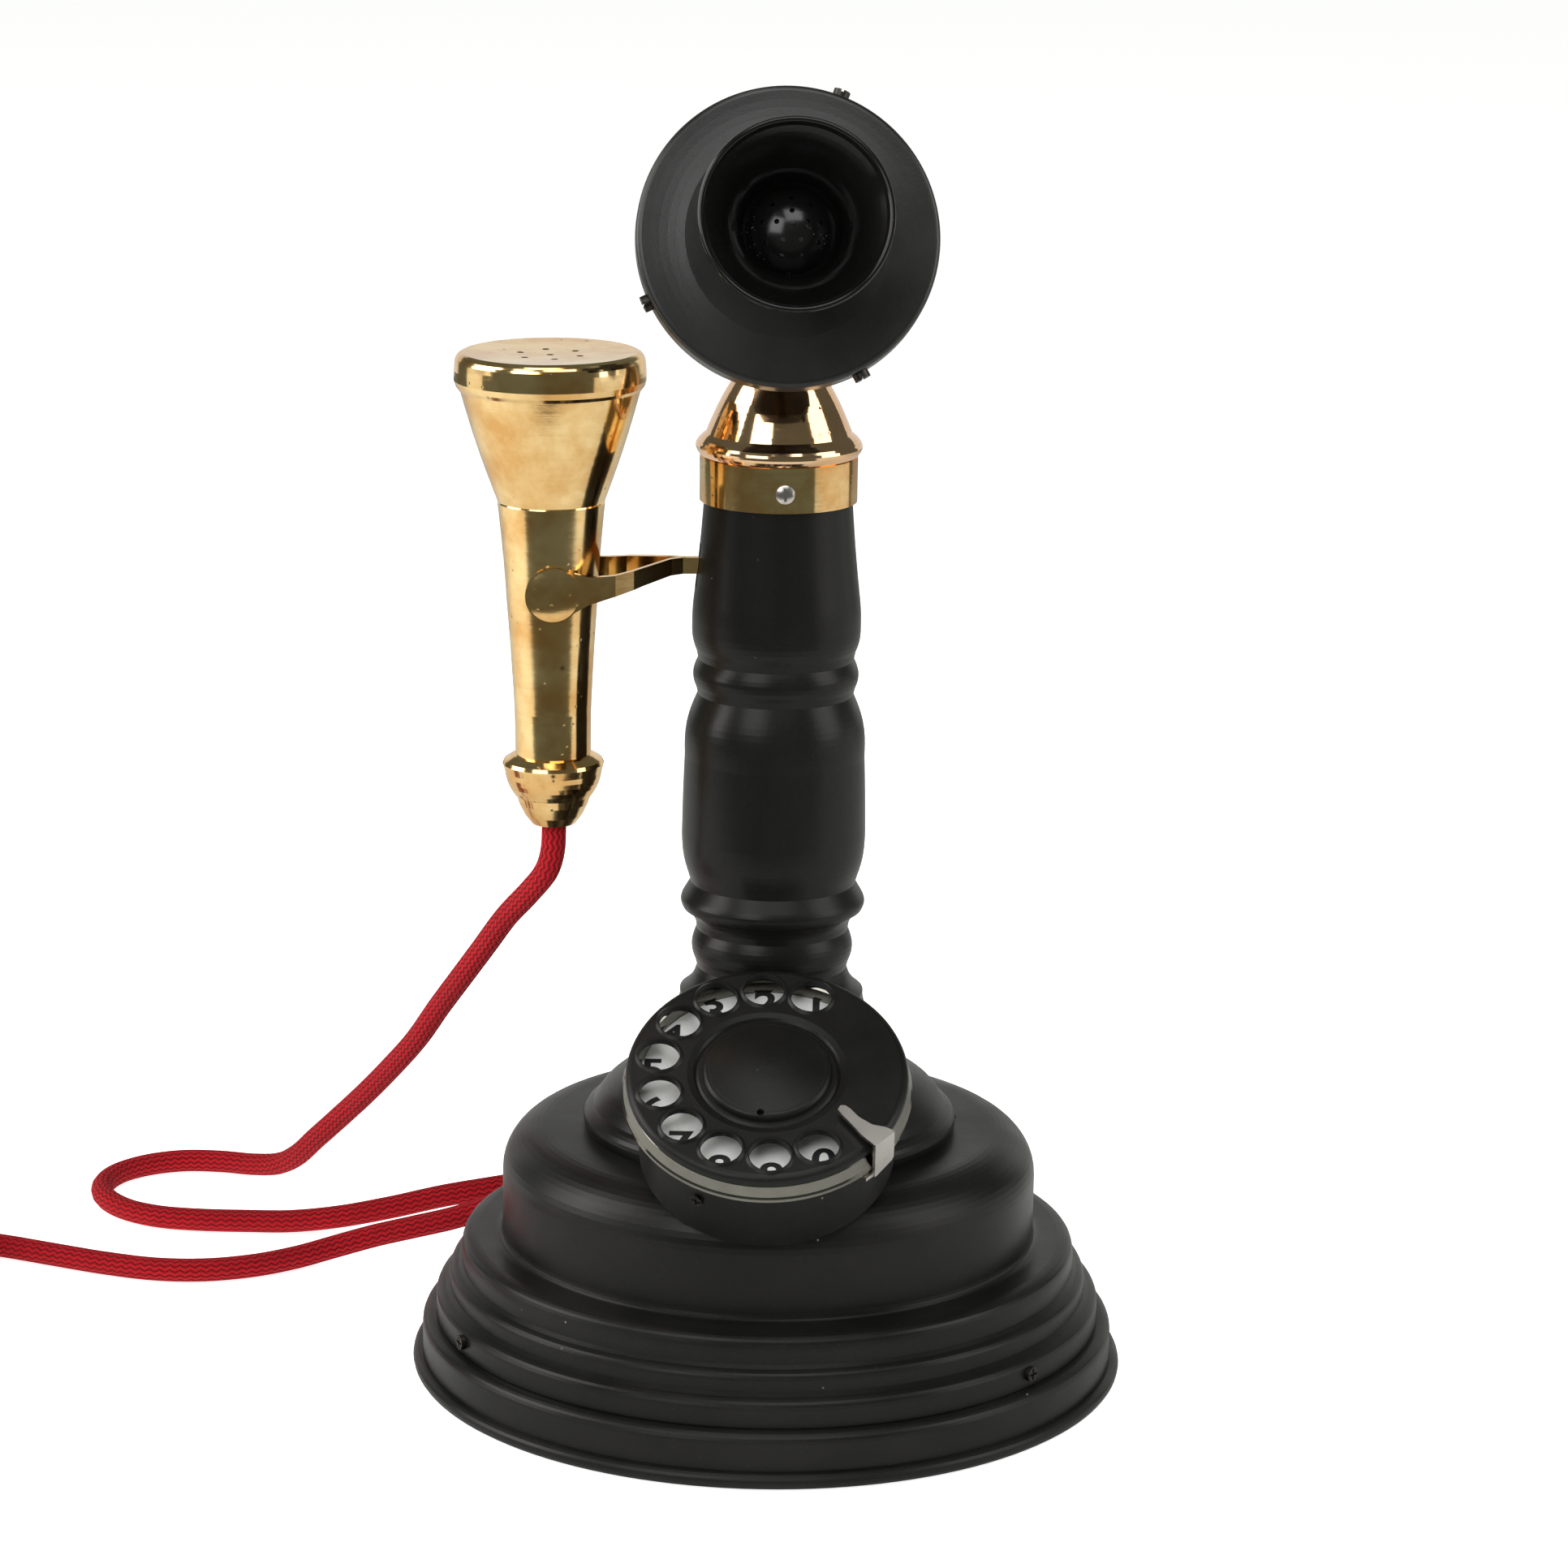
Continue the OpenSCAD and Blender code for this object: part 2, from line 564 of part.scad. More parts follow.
// Outline of the prongs from the side
prong_side = [[-24, 236.4], [-30, 236.2], [-38, 235], [-46, 233.8], [-53, 233.6], [-57, 234.6],
    [-57, 223.6], [-53, 225.9], [-47, 227.6], [-38, 229.9], [-30, 231.5], [-24, 231.8]];
module prong(side) {
    outer = [for (i = [0:len(prong_line) - 1]) prong_line[i] - prong_t / 2 * normal(prong_line, i)];
    inner = [for (i = [len(prong_line) - 1:-1:0]) prong_line[i] + prong_t / 2 * normal(prong_line, i)];
    mirror([0, side < 0 ? 1 : 0, 0]) {
        intersection() {
            translate([0, 0, 210]) linear_extrude(40) polygon(concat(outer, inner));
            translate([0, 20, 0]) rotate([90, 0, 0]) linear_extrude(22) polygon(prong_side);
        }
        pin_y(paddle_r, paddle_x, paddle_z, fork_gap, fork_gap + prong_t);
        intersection() {
            pin_y(paddle_r, paddle_x, paddle_z, fork_gap + 0.5, fork_gap + 4);
            translate([paddle_x, fork_gap + prong_t + 1.1 - dish_r, paddle_z]) sphere(r = dish_r);
        }
    }
}
module hook_lever() {
    color("#c9a45c") at_column() difference() {
        union() {
            prong(1);
            prong(-1);
            block([-27.5, -1.3, 231.7], [-9, 1.3, 236.3]);
            pin_y(4, hook_pivot_x, hook_z, -3, 3);
            block([-6, -1.3, hook_z - 1.6], [9, 1.3, hook_z + 2]);
        }
        pin_y(1.56, hook_pivot_x, hook_z, -10, 10);
    }
}
module hook_pin() color("#9a9a94") at_column() pin_y(1.5, hook_pivot_x, hook_z, -16.5, 16.5);
module hook_spring() {
    color("#a8a8a2") at_column() {
        block([9, -3, chamber_z + 21.6], [13.6, 3, chamber_z + 24.4]);
        block([-2, -2.4, chamber_z + 22.4], [9.4, 2.4, chamber_z + 22.8]);
    }
}
module switch_stack() {
    color("#6b4a2c") at_column() {
        block([2.5, -6, chamber_z + 5], [10.5, 6, chamber_z + 8]);
        for (z = [8, 10.5]) block([-4, -2.5, chamber_z + z], [8.5, 2.5, chamber_z + z + 0.5]);
        block([5.5, -5, chamber_z + 8], [9.5, 5, chamber_z + 12.5]);
    }
}

// ---- receiver -----------------------------------------------------------------------------

bell_top = 283.4;
cap_line = concat([[24.35, bell_top + 0.05], [25.2, bell_top + 0.05], [26, bell_top + 1.1], [ear_r, 286.2]],
    bow([ear_r, 286.2], [ear_r - 0.3, ear_z - 2.2], 0.1, 4), bow([ear_r - 0.3, ear_z - 2.2], [24, ear_z], 0.5, 5),
    [[22.6, ear_z - 0.1]], bow([22.6, ear_z - 0.1], [0, ear_z - 1], -0.2, 6));
module receiver_cap() {
    color("#d8b25a") at_receiver() difference() {
        lathe(concat(cap_line, [[0, ear_z - 2.6], [24, ear_z - 2.6], [24.35, ear_z - 3.4]]));
        rod(1, 280, 300);
        for (i = [1:6]) rotate([0, 0, 60 * i + 36]) translate([8.8, 0, 0]) rod(1, 280, 300);
    }
}
module diaphragm() color("#55554f") at_receiver() rod(23.6, 290, 290.4);
seam_z = 252.4;
bell_line = bow([14.9, seam_z], [24.9, bell_top], 0.45, 10);
module receiver_bell() {
    color("#d8b25a") at_receiver()
        lathe(concat([[14.9, seam_z]], bell_line, [[24.2, bell_top], [24.2, 290], [22.4, 290], [22.4, 284],
            [21.8, 280]], bow([21.8, 280], [13.2, seam_z], 0.4, 6)));
}
barrel_line = concat([[14.7, seam_z], [14.9, seam_z - 0.5], [14.5, seam_z - 4.4]],
    bow([14.5, seam_z - 4.4], [12.6, 224], 0.15, 6), bow([12.6, 224], [10.7, 193], 0.1, 5), [[10.55, 180.6]]);
module receiver_barrel() {
    color("#cfa953") at_receiver() lathe(concat([[9.2, 180.6], [9.2, 240], [13, seam_z]], barrel_line));
}
tail_line = concat([[5.2, 160]], [[6.2, 160.4], [8.1, 162.9], [9.7, 166.2], [10.4, 168.4], [10.9, 168.7]],
    bow([10.9, 168.7], [13.6, 175.6], 0.5, 5), [[14.2, 177.8], [13.8, 178.8], [11.6, 180.2], [10.6, 180.6]]);
module receiver_tail() {
    color("#d8b25a") at_receiver() lathe(concat([[3.6, 160]], tail_line, [[3.6, 180.6]]));
}
module receiver_magnet() {
    color("#4a4a4a") at_receiver() {
        block([-6.5, -3, 195], [-2.5, 3, 289]);
        block([2.5, -3, 195], [6.5, 3, 289]);
        block([-6.5, -3, 191], [6.5, 3, 195]);
        rod(9.2, 188, 191);
    }
}
module receiver_coil() {
    color("#7c2f22") at_receiver() {
        ring(12, 7.2, 268, 284);
        ring(12, 7.2, 286, 288.6);
    }
}

// ---- ringer and wiring inside the base ------------------------------------------------------

floor_z = 2.7;
gong_x = 33;
gong_y = 24;
gong_r = 25;
module gongs() {
    color("#b7a069") for (s = [-1, 1]) translate([gong_x * s, gong_y, 0]) difference() {
        lathe(concat([[0, 31], [6, 31], [6, 30.6]], bow([6, 30.6], [gong_r, 20], 5, 8), [[gong_r, 17],
            [gong_r - 1.2, 17], [gong_r - 1.2, 19.6]], bow([gong_r - 1.2, 19.6], [6, 29.2], -4.8, 8), [[0, 29.2]]));
        rod(2, 0, 40);
    }
}
module ringer_frame() {
    color("#6f6f6b") {
        block([-44, -30, floor_z], [44, 34, floor_z + 2]);
        for (s = [-1, 1]) translate([gong_x * s, gong_y, 0]) {
            rod(2, floor_z + 2, 33);
            rod(4, floor_z + 2, 29.2);
        }
        for (s = [-1, 1]) block([12 * s - 2, -26, floor_z + 2], [12 * s + 2, -23, 26]);
        rod(3, floor_z + 2, 12);
        rod(1.5, floor_z + 2, 24);
    }
}
module ringer_coils() {
    color("#7c2f22") for (s = [-1, 1]) translate([12 * s, 0, 18]) rotate([90, 0, 0]) {
        rod(8.5, 5, 22.9);
        rod(2.5, 2.5, 5);
    }
}
module clapper() {
    color("#8c8c86") {
        difference() {
            union() {
                rod(3, 12.4, 22);
                block([-1.2, 1, 16], [1.2, gong_y - 2, 18.4]);
                block([-17, 1.2, 15], [17, 2.2, 21]);
            }
            rod(1.56, 0, 40);
        }
        translate([0, gong_y, 17.4]) sphere(r = 4.2, $fn = 48);
    }
}
module terminal_board() {
    color("#5a3a22") {
        block([-26, -66, floor_z], [26, -42, floor_z + 4]);
        for (i = [-2:2]) translate([i * 10, -54, 0]) rod(2.6, floor_z + 4, floor_z + 6.5);
    }
}
module induction_coil() {
    color("#7c2f22") translate([-62, -24, floor_z + 11]) rotate([90, 0, 0]) {
        rod(10, -16, 22);
        ring(11, 3, -19, -16);
        ring(11, 3, 22, 25);
    }
}
module condenser() color("#9b9b94") block([52, -48, floor_z], [70, -2, floor_z + 22]);

// ---- cords --------------------------------------------------------------------------------

module cord_grommets() {
    color("#161616") for (a = grommet_angles) rotate([0, 0, a]) difference() {
        union() {
            pin_x(4.25, 0, grommet_z, 89, 97);
            pin_x(5.3, 0, grommet_z, 95.4, 97);
        }
        pin_x(cord_r + 0.12, 0, grommet_z, 80, 100);
    }
}

// A round tube with one ring of sides at each point of its route
up = [-0.3, 0.3, 1] / norm([-0.3, 0.3, 1]);
function way(p, i) = let (d = p[min(i + 1, len(p) - 1)] - p[max(i - 1, 0)]) d / norm(d);
function unit(v) = v / norm(v);
module tube(route, r, sides = 8) {
    n = len(route);
    points = [for (i = [0:n - 1]) let (t = way(route, i), u = unit(cross(t, up)), v = cross(t, u))
        each [for (k = [0:sides - 1]) route[i] + r * (cos(360 * k / sides) * u + sin(360 * k / sides) * v)]];
    sides_faces = [for (i = [0:n - 2], k = [0:sides - 1]) let (m = (k + 1) % sides)
        each [[i * sides + k, i * sides + m, (i + 1) * sides + m], [i * sides + k, (i + 1) * sides + m, (i + 1) * sides + k]]];
    ends = [[for (k = [sides - 1:-1:0]) k], [for (k = [0:sides - 1]) (n - 1) * sides + k]];
    polyhedron(points, concat(sides_faces, ends), convexity = 10);
}
receiver_route = [[-61.6, -5.8, 159.7], [-62, -5.5, 152], [-64.1, -3, 145], [-69.5, 5, 136.5],
    [-76.5, 15.5, 126.5], [-84, 28, 113.5], [-91.5, 41, 100.5], [-99, 54, 87.5], [-107, 68, 73],
    [-115.5, 82, 60], [-125, 97, 46.5], [-134.5, 111, 34], [-144, 124, 22], [-151, 134, 13],
    [-158, 143, 7], [-167, 150, 4.2], [-178, 154, 3.6], [-190, 154, 3.6], [-201, 149, 3.6],
    [-209, 140, 3.6], [-212, 128, 3.6], [-209, 116, 3.6], [-201, 106, 3.6], [-190, 100, 3.6],
    [-177, 97.8, 3.6], [-163, 97.5, 3.6], [-149, 97.5, 3.8], [-134, 98, 5.4], [-118, 98.7, 8.5],
    [-102, 99, 12.4], [-86, 98.8, 15.6], [-73, 98.3, 18.2], [-62, 97, 20.2], [-53.5, 94.5, 21.3],
    [-47.4, 89.2, 21.5], [-45.1, 84.8, 21.5], [-42, 79, 21.5]];
line_route = [[-58.7, 67.5, 21.5], [-63.6, 73.2, 21.5], [-66.9, 77, 21.5], [-73.5, 81, 19.6], [-85, 81, 15.8],
    [-97, 79.5, 12.2], [-109, 78, 9.6], [-121, 76, 7.2], [-133, 72, 4.8], [-144, 65, 3.7], [-156, 57.5, 3.6],
    [-170, 53, 3.6], [-185, 53, 3.6], [-201, 57.5, 3.6], [-217, 64, 3.6], [-234, 71, 3.6], [-251, 76, 3.6],
    [-268, 78, 3.6]];
coil_at = [-284, 38];
coil_in = 29;
coil_out = 44;
coil_h = 14.4;
plug_y = -36;
plug_x = -252;
plug_z = 7.1;
tail_route = [[-270, 2, 18.4], [-257, 1.5, 16], [-244, -0.5, 10.5], [-232.5, -6, 5.5], [-227, -16, 3.7],
    [-230, -27, 4.4], [-239.5, -34.9, 6.6], [-246.5, plug_y, plug_z], [plug_x, plug_y, plug_z]];
module receiver_cord() color("#a3101c") tube(receiver_route, cord_r);
module line_cord() {
    color("#a3101c") {
        tube(line_route, cord_r);
        tube(tail_route, cord_r);
    }
}
module line_cord_coil() {
    color("#8d0f1a") translate(coil_at) lathe([[coil_in + 2, 0.1], [coil_out - 2, 0.1], [coil_out, 2.1],
        [coil_out, coil_h - 2], [coil_out - 2, coil_h], [coil_out - 4, 21.4], [coil_in + 4, 21.4],
        [coil_in + 2, coil_h], [coil_in, coil_h - 2], [coil_in, 2.1]]);
}
module line_plug() {
    translate([plug_x, plug_y, plug_z]) rotate([0, -90, 0]) {
        color("#1a1a1a") lathe([[0, 0.05], [4.4, 0.05], [6.6, 12], [7, 14], [7, 30], [6.2, 31.5], [0, 31.5]]);
        color("#d8b25a") lathe([[0, 31.5], [3.1, 31.5], [3.1, 54], [2.1, 56], [2.1, 57], [3.1, 59.5], [1, 63], [0, 63]]);
    }
}

base_tray();
felt_pad();
bottom_plate();
bottom_screws();
base_shell();
shell_screws();
column_foot();
column();
tie_pipe();
pipe_nuts();
collar_band();
collar_screw();
neck_dome();
head_clevis();
tilt_pin();
dial_cup();
cup_screws();
dial_wedge();
dial_bolt();
dial_bezel();
number_plate();
finger_stop();
dial_frame();
spring_barrel();
pulse_contacts();
finger_wheel();
wheel_cap();
dial_shaft();
dial_gear();
governor_pinion();
governor_rotor();
face_plate();
face_screws();
mouthpiece();
grille();
transmitter_housing();
carbon_capsule();
hook_lever();
hook_pin();
hook_spring();
switch_stack();
receiver_cap();
diaphragm();
receiver_bell();
receiver_barrel();
receiver_tail();
receiver_magnet();
receiver_coil();
gongs();
ringer_frame();
ringer_coils();
clapper();
terminal_board();
induction_coil();
condenser();
cord_grommets();
receiver_cord();
line_cord();
line_cord_coil();
line_plug();
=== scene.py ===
import json
import math
import random

import bpy
from mathutils import Matrix, Vector


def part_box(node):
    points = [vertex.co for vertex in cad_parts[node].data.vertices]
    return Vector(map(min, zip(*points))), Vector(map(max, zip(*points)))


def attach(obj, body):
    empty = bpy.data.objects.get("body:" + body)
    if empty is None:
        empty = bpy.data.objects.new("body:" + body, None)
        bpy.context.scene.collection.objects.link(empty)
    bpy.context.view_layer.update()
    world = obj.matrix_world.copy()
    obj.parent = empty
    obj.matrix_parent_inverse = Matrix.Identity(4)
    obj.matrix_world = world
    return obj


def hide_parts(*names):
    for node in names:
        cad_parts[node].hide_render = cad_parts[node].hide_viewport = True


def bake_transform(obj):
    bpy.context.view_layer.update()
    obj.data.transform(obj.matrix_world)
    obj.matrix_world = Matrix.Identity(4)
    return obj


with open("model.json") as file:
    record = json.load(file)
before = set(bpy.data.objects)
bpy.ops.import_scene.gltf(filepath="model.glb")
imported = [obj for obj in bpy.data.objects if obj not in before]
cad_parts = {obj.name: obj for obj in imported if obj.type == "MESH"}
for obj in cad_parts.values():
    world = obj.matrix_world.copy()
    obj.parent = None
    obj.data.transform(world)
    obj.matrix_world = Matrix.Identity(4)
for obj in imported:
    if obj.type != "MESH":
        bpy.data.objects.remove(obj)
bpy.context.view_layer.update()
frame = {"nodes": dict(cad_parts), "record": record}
record = frame["record"]
MM = 0.001

# ---- places, from the frame ------------------------------------------------------------------


def joint(name):
    return next(j for j in record["behaviour"]["joints"] if j["name"] == name)


def middle(node):
    lo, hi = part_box(node)
    return (lo + hi) / 2


# The dial's own frame: its centre on the wheel's axis and its face's outward normal
DIAL_AXIS = Vector(joint("dial_turn")["axis"]).normalized()
DIAL_NORMAL = -DIAL_AXIS
DIAL_CENTRE = Vector(joint("dial_turn")["pos_m"])
DIAL_RIGHT = Vector((1, 0, 0))
DIAL_UP = DIAL_NORMAL.cross(DIAL_RIGHT)


def on_dial(u, v, h):
    return DIAL_CENTRE + DIAL_RIGHT * u + DIAL_UP * v + DIAL_NORMAL * h


# ---- shader networks -------------------------------------------------------------------------


class Finish:
    """A material whose nodes are added and linked in one call each."""

    def __init__(self, name):
        self.material = bpy.data.materials.new(name)
        self.material.use_nodes = True
        self.tree = self.material.node_tree
        self.shader = self.tree.nodes["Principled BSDF"]
        self.place = self.add("ShaderNodeTexCoord").outputs["Object"]
        self.uv = self.tree.nodes["Texture Coordinate"].outputs["UV"]

    def add(self, kind, **settings):
        node = self.tree.nodes.new(kind)
        for key, value in settings.items():
            setattr(node, key, value)
        return node

    def put(self, socket, value):
        if hasattr(value, "is_output"):
            self.tree.links.new(value, socket)
        else:
            socket.default_value = value

    def set(self, **values):
        for key, value in values.items():
            self.put(self.shader.inputs[key.replace("_", " ")], value)
        return self

    def stretch(self, x=1, y=1, z=1):
        node = self.add("ShaderNodeMapping")
        self.put(node.inputs["Vector"], self.place)
        node.inputs["Scale"].default_value = (x, y, z)
        return node.outputs[0]

    def noise(self, scale, detail=4, rough=0.55, at=None):
        node = self.add("ShaderNodeTexNoise")
        self.put(node.inputs["Vector"], at or self.place)
        self.put(node.inputs["Scale"], scale)
        self.put(node.inputs["Detail"], detail)
        self.put(node.inputs["Roughness"], rough)
        return node.outputs["Fac"]

    def cells(self, scale, at=None):
        node = self.add("ShaderNodeTexVoronoi")
        self.put(node.inputs["Vector"], at or self.place)
        self.put(node.inputs["Scale"], scale)
        return node.outputs["Distance"]

    def span(self, value, low, high, to_low=0.0, to_high=1.0):
        node = self.add("ShaderNodeMapRange")
        self.put(node.inputs["Value"], value)
        for key, number in (("From Min", low), ("From Max", high), ("To Min", to_low), ("To Max", to_high)):
            self.put(node.inputs[key], number)
        return node.outputs[0]

    def math(self, operation, a, b=0.0):
        node = self.add("ShaderNodeMath", operation=operation)
        self.put(node.inputs[0], a)
        self.put(node.inputs[1], b)
        return node.outputs[0]

    def mix(self, factor, a, b):
        node = self.add("ShaderNodeMix", data_type="RGBA")
        self.put(node.inputs[0], factor)
        self.put(node.inputs[6], (*a, 1) if isinstance(a, tuple) else a)
        self.put(node.inputs[7], (*b, 1) if isinstance(b, tuple) else b)
        return node.outputs[2]

    def bump(self, height, depth, strength=1.0, over=None):
        node = self.add("ShaderNodeBump")
        self.put(node.inputs["Height"], height)
        self.put(node.inputs["Distance"], depth)
        self.put(node.inputs["Strength"], strength)
        if over:
            self.put(node.inputs["Normal"], over)
        return node.outputs[0]


def satin_black(name, tone=0.0058, rough=(0.28, 0.42), grain=(1, 1, 1), shine=0.2, peel_depth=0.5):
    """Black paint with a fine orange peel, rubbed places, dust and a few nicks."""
    f = Finish(name)
    clouds = f.noise(34, 5, at=f.stretch(*grain))
    peel = f.noise(1500, 3, at=f.stretch(*grain))
    dust = f.span(f.noise(2600, 2), 0.69, 0.76)
    nicks = f.math("MULTIPLY", f.span(f.cells(160), 0.06, 0.025), f.span(f.noise(21), 0.57, 0.63))
    dark = (tone, tone * 0.99, tone * 0.95)
    light = (tone * 1.7, tone * 1.66, tone * 1.58)
    base = f.mix(f.span(clouds, 0.35, 0.7), dark, light)
    base = f.mix(f.math("MULTIPLY", dust, 0.16), base, (0.2, 0.19, 0.17))
    base = f.mix(f.math("MULTIPLY", nicks, 0.7), base, (0.3, 0.27, 0.23))
    f.set(Base_Color=base, Roughness=f.span(clouds, 0.3, 0.72, *rough), Specular_IOR_Level=shine)
    f.set(Normal=f.bump(peel, 0.00006, peel_depth, over=f.bump(clouds, 0.0002, 0.25)))
    return f.material


def brass(name, light, deep, rough=(0.07, 0.17), tarnish=0.6, pits=0.8):
    """Hand-polished brass: warm patches, lathe lines, small pits and a few dark spots."""
    f = Finish(name)
    clouds = f.noise(26, 6, 0.6)
    patches = f.span(f.noise(62, 5, 0.6), 0.4, 0.62)
    lines = f.noise(420, 3, at=f.stretch(0.08, 0.08, 3))
    pit = f.math("MULTIPLY", f.span(f.cells(300), 0.15, 0.04), f.span(f.noise(30), 0.5, 0.62))
    spot = f.math("MULTIPLY", f.span(f.cells(120), 0.11, 0.03), f.span(f.noise(17, 2), 0.54, 0.6))
    base = f.mix(f.math("MULTIPLY", patches, tarnish), light, deep)
    base = f.mix(f.math("MULTIPLY", f.span(lines, 0.5, 0.8), 0.25), base, deep)
    base = f.mix(f.math("MULTIPLY", f.math("MAXIMUM", pit, spot), pits), base, (0.09, 0.045, 0.015))
    f.set(Base_Color=base, Metallic=1.0)
    roughness = f.math("ADD", f.span(clouds, 0.3, 0.7, *rough), f.math("MULTIPLY", pit, 0.4))
    f.set(Roughness=roughness)
    wave = f.bump(clouds, 0.0009, 0.12)
    lathe_lines = f.bump(lines, 0.00003, 0.25, over=wave)
    f.set(Normal=f.bump(f.math("SUBTRACT", 1.0, pit), 0.00012, 0.8, over=lathe_lines))
    return f.material


def plain_metal(name, colour, rough=(0.22, 0.4), scratch=0.3):
    f = Finish(name)
    clouds = f.noise(60, 5)
    lines = f.noise(900, 3, at=f.stretch(0.15, 1, 1))
    darker = tuple(c * 0.72 for c in colour)
    f.set(Base_Color=f.mix(f.span(clouds, 0.4, 0.7), colour, darker), Metallic=1.0)
    f.set(Roughness=f.span(clouds, 0.3, 0.7, *rough))
    f.set(Normal=f.bump(lines, 0.00004, scratch))
    return f.material


def gloss_black(name):
    f = Finish(name)
    clouds = f.noise(70, 4)
    crumbs = f.math("MULTIPLY", f.span(f.cells(900), 0.2, 0.08), f.span(f.noise(110, 2), 0.56, 0.62))
    f.set(Base_Color=f.mix(f.math("MULTIPLY", crumbs, 0.6), (0.006, 0.006, 0.006), (0.3, 0.28, 0.24)))
    f.set(Roughness=f.span(clouds, 0.3, 0.7, 0.12, 0.22), Normal=f.bump(crumbs, 0.0002, 0.8))
    return f.material


def white_enamel(name):
    f = Finish(name)
    clouds = f.noise(90, 4)
    f.set(Base_Color=f.mix(f.span(clouds, 0.45, 0.75), (0.93, 0.93, 0.91), (0.86, 0.86, 0.82)))
    f.set(Roughness=f.span(clouds, 0.3, 0.7, 0.2, 0.34), Normal=f.bump(clouds, 0.00005, 0.3))
    return f.material


def soft_cloth(name, colour, scale=900):
    f = Finish(name)
    fibres = f.noise(scale, 5, 0.7)
    lighter = tuple(min(1, c * 1.7 + 0.01) for c in colour)
    f.set(Base_Color=f.mix(f.span(fibres, 0.35, 0.75), colour, lighter), Roughness=0.95)
    f.set(Sheen_Weight=0.3, Normal=f.bump(fibres, 0.0003, 0.7))
    return f.material


def dull(name, colour, rough=0.7, scale=500):
    f = Finish(name)
    grain = f.noise(scale, 4)
    darker = tuple(c * 0.6 for c in colour)
    f.set(Base_Color=f.mix(grain, colour, darker), Roughness=rough, Normal=f.bump(grain, 0.0001, 0.4))
    return f.material


STRANDS = 14
STITCH = 2.9 * MM


def braid(name):
    """Braided cotton: two families of strands that cross and dive under each other.
    The tube's UV runs once round in x and along the cord in metres in y."""
    f = Finish(name)
    split = f.add("ShaderNodeSeparateXYZ")
    f.put(split.inputs[0], f.uv)
    around = f.math("MULTIPLY", split.outputs[0], STRANDS)
    along = f.math("DIVIDE", split.outputs[1], STITCH)

    def ridge(value):
        phase = f.math("FRACT", value)
        return f.math("SINE", f.math("MULTIPLY", phase, math.pi))

    one = f.math("ADD", around, along)
    two = f.math("SUBTRACT", around, along)
    over = f.math("GREATER_THAN", f.math("SINE", f.math("MULTIPLY", along, 2 * math.pi)), 0.0)
    height = f.add("ShaderNodeMix", data_type="FLOAT")
    f.put(height.inputs[0], over)
    f.put(height.inputs[2], ridge(one))
    f.put(height.inputs[3], ridge(two))
    strands = height.outputs[0]
    fibres = f.noise(5200, 3, 0.7)
    worn = f.noise(55, 4)
    lint = f.math("MULTIPLY", f.span(f.noise(1700, 2), 0.68, 0.76), f.span(worn, 0.45, 0.65))
    # The colour is darker where the strand height is low, down in the grooves between strands: painted
    # shade. The same height also makes the bump.
    base = f.mix(f.span(strands, 0.1, 0.9), (0.09, 0.002, 0.004), (0.44, 0.009, 0.016))
    base = f.mix(f.math("MULTIPLY", f.span(fibres, 0.45, 0.75), 0.45), base, (0.56, 0.018, 0.026))
    base = f.mix(f.math("MULTIPLY", f.span(worn, 0.4, 0.75), 0.35), base, (0.26, 0.008, 0.012))
    base = f.mix(f.math("MULTIPLY", lint, 0.3), base, (0.7, 0.25, 0.25))
    f.set(Base_Color=base, Roughness=0.9, Specular_IOR_Level=0.12, Sheen_Weight=0.02)
    f.set(Normal=f.bump(fibres, 0.00018, 0.6, over=f.bump(strands, 0.0005, 0.9)))
    return f.material


FINISHES = {
    "black_enamel": satin_black("black_enamel"),
    "black_wood": satin_black("black_wood", 0.0055, (0.26, 0.38), (1, 1, 0.12)),
    "brass": brass("brass", (1.0, 0.73, 0.35), (0.76, 0.4, 0.12), tarnish=0.85, pits=1.0),
    "works_brass": brass("works_brass", (0.66, 0.5, 0.22), (0.45, 0.3, 0.12), (0.25, 0.45)),
    "nickel": plain_metal("nickel", (0.23, 0.225, 0.195), (0.07, 0.18), 0.15),
    "steel": plain_metal("steel", (0.5, 0.5, 0.49)),
    "number_enamel": white_enamel("number_enamel"),
    "black_gloss": gloss_black("black_gloss"),
    "capsule_metal": plain_metal("capsule_metal", (0.55, 0.55, 0.53), (0.35, 0.5)),
    "coil_silk": soft_cloth("coil_silk", (0.2, 0.05, 0.03), 1400),
    "fibre_board": dull("fibre_board", (0.2, 0.1, 0.05)),
    "felt": soft_cloth("felt", (0.03, 0.06, 0.04)),
    "rubber": dull("rubber", (0.02, 0.02, 0.02), 0.75),
    "cord_braid": braid("cord_braid"),
}
rosy_brass = brass("rosy_brass", (0.9, 0.6, 0.35), (0.76, 0.42, 0.2), (0.05, 0.12), 0.45, 0.8)
ebonite = satin_black("ebonite", 0.003, (0.12, 0.2), shine=0.26, peel_depth=0.06)
face_black = satin_black("face_black", shine=0.55)
stop_nickel = plain_metal("stop_nickel", (0.8, 0.75, 0.71), (0.18, 0.3), 0.06)
screw_black = plain_metal("screw_black", (0.06, 0.055, 0.05), (0.3, 0.5))
ink = dull("ink", (0.012, 0.012, 0.012), 0.5)
SPECIAL = {
    "neck_dome": rosy_brass,
    "head_clevis": rosy_brass,
    "collar_screw": stop_nickel,
    "mouthpiece": ebonite,
    "face_plate": face_black,
    "finger_stop": stop_nickel,
    "diaphragm": screw_black,
    "shell_screws": screw_black,
    "cup_screws": screw_black,
    "face_screws": screw_black,
}


def paint_cad():
    for part in record["subparts"]:
        mesh = frame["nodes"][part["node"]].data
        mesh.materials.clear()
        mesh.materials.append(SPECIAL.get(part["node"], FINISHES[part["material_slot"]]))


# ---- meshes ----------------------------------------------------------------------------------


